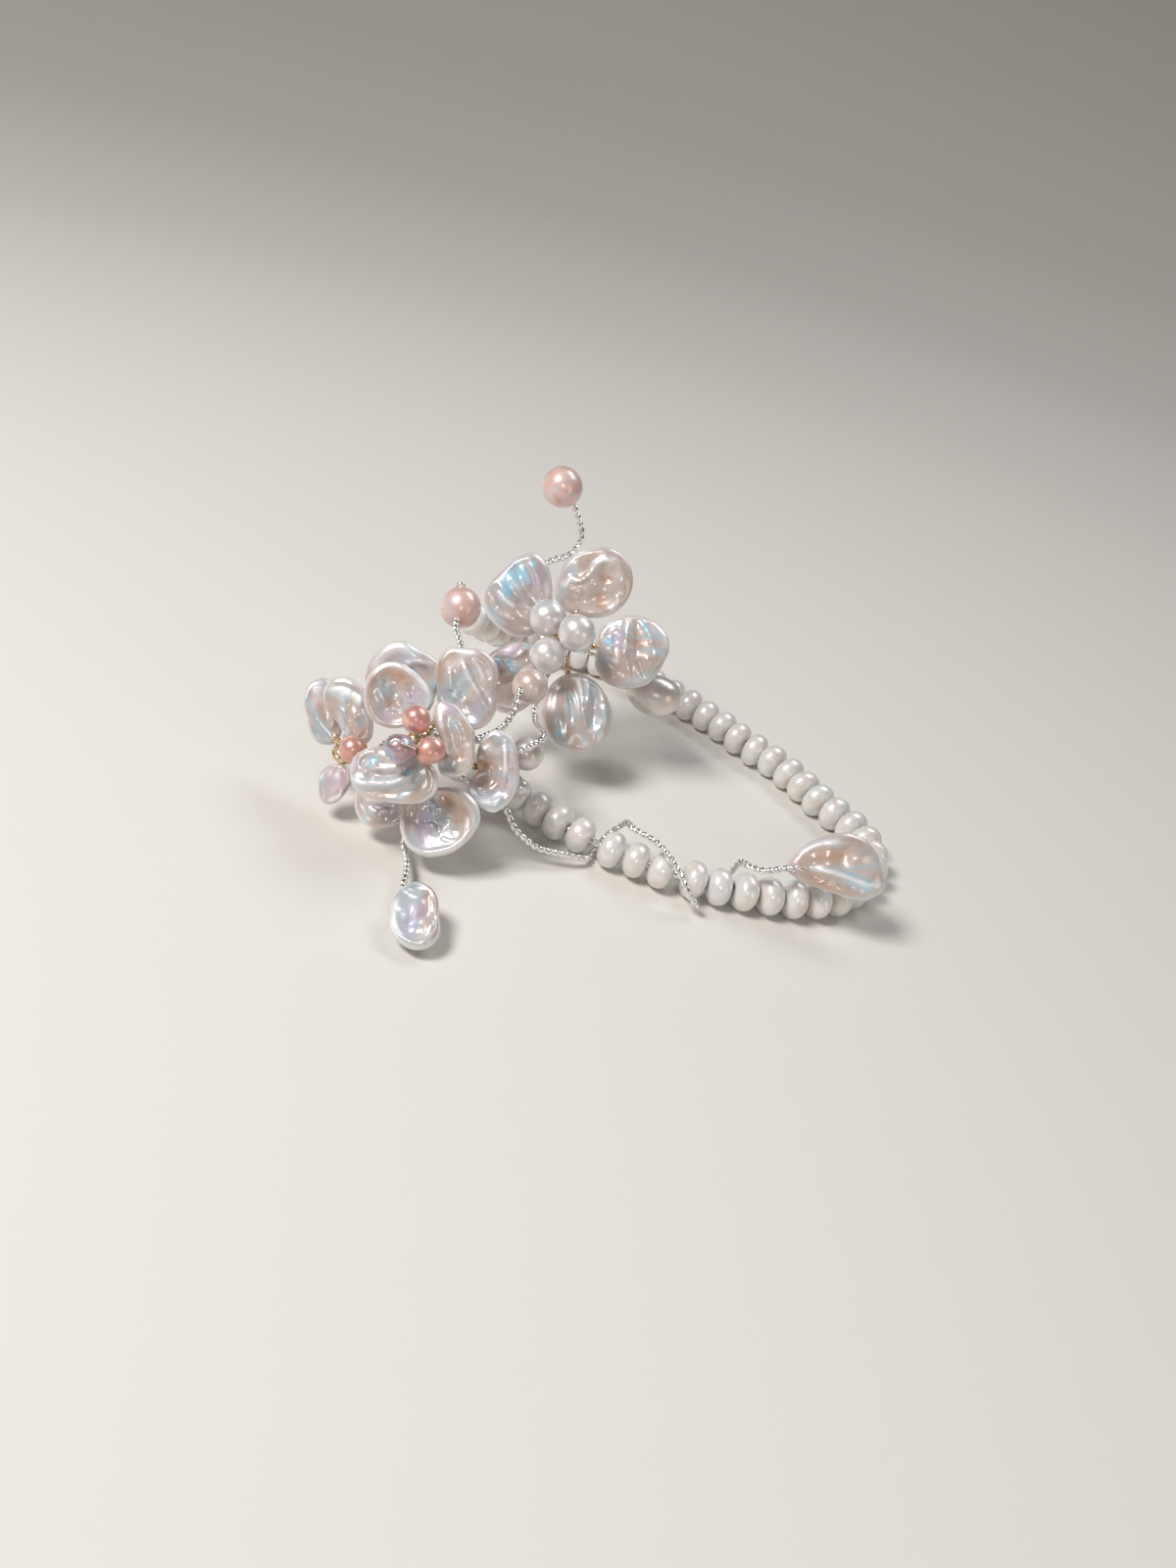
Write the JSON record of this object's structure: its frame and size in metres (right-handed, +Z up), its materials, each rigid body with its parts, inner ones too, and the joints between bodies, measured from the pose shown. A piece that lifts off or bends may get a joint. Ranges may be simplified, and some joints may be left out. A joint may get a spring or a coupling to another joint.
{
  "type": "pearl bracelet",
  "caption": "Open wire bangle strung with button pearls, its end carrying a spray of petal-pearl flowers, a twisted vine, a pearl leaf and a hanging flat pearl.",
  "frame": {"origin": "Middle of the bounding box at its base, on the floor the bangle lies on.", "axes": "+Z up, the flower spray faces -Y, +X to the viewer's right."},
  "size_m": [0.0662, 0.0674, 0.0317],
  "materials": {
    "button_pearl": "white nacre with a pink and blue sheen",
    "petal_pearl": "pinkish grey nacre with cyan and blue flashes",
    "white_pearl": "white nacre, high lustre",
    "coral_pearl": "coral and mauve nacre, high lustre",
    "pink_pearl": "pink nacre, high lustre",
    "blush_pearl": "blush nacre, high lustre",
    "silver_wire": "polished silver wire, two strands twisted"
  },
  "bodies": {
    "root": {"flower_1_petal_top": "petal_pearl", "flower_1_petal_peach_cup": "petal_pearl", "flower_1_petal_upright": "petal_pearl", "flower_1_petal_kidney": "petal_pearl", "flower_1_petal_ridged": "petal_pearl", "flower_1_petal_wide": "petal_pearl", "flower_1_petal_bottom_cup": "petal_pearl", "flower_1_petal_lower_left": "petal_pearl", "flower_2_petal_left_triangle": "petal_pearl", "flower_2_petal_low_left": "petal_pearl", "flower_2_petal_top": "petal_pearl", "flower_2_petal_right_ridge": "petal_pearl", "flower_2_petal_bottom": "petal_pearl", "flower_3_petal_left": "petal_pearl", "flower_3_petal_right": "petal_pearl", "flower_3_petal_low": "petal_pearl", "flower_1_stamen_coral": "coral_pearl", "flower_1_stamen_mauve": "coral_pearl", "flower_1_stamen_peach": "coral_pearl", "flower_2_stamen_left_pearl": "white_pearl", "flower_2_stamen_right_pearl": "white_pearl", "flower_2_stamen_low_pearl": "white_pearl", "flower_3_stamen_coral": "coral_pearl", "blush_pearl": "blush_pearl", "oval_pearl": "white_pearl", "grey_pearl": "white_pearl", "small_grey_pearl": "white_pearl", "pink_pearl_high": "pink_pearl", "pink_pearl_left": "pink_pearl", "drop_keshi": "petal_pearl", "leaf_keshi": "petal_pearl", "bead_band": "button_pearl", "spray_wire": "silver_wire", "vine_wire": "silver_wire", "leaf_wire": "silver_wire"}
  },
  "joints": []
}
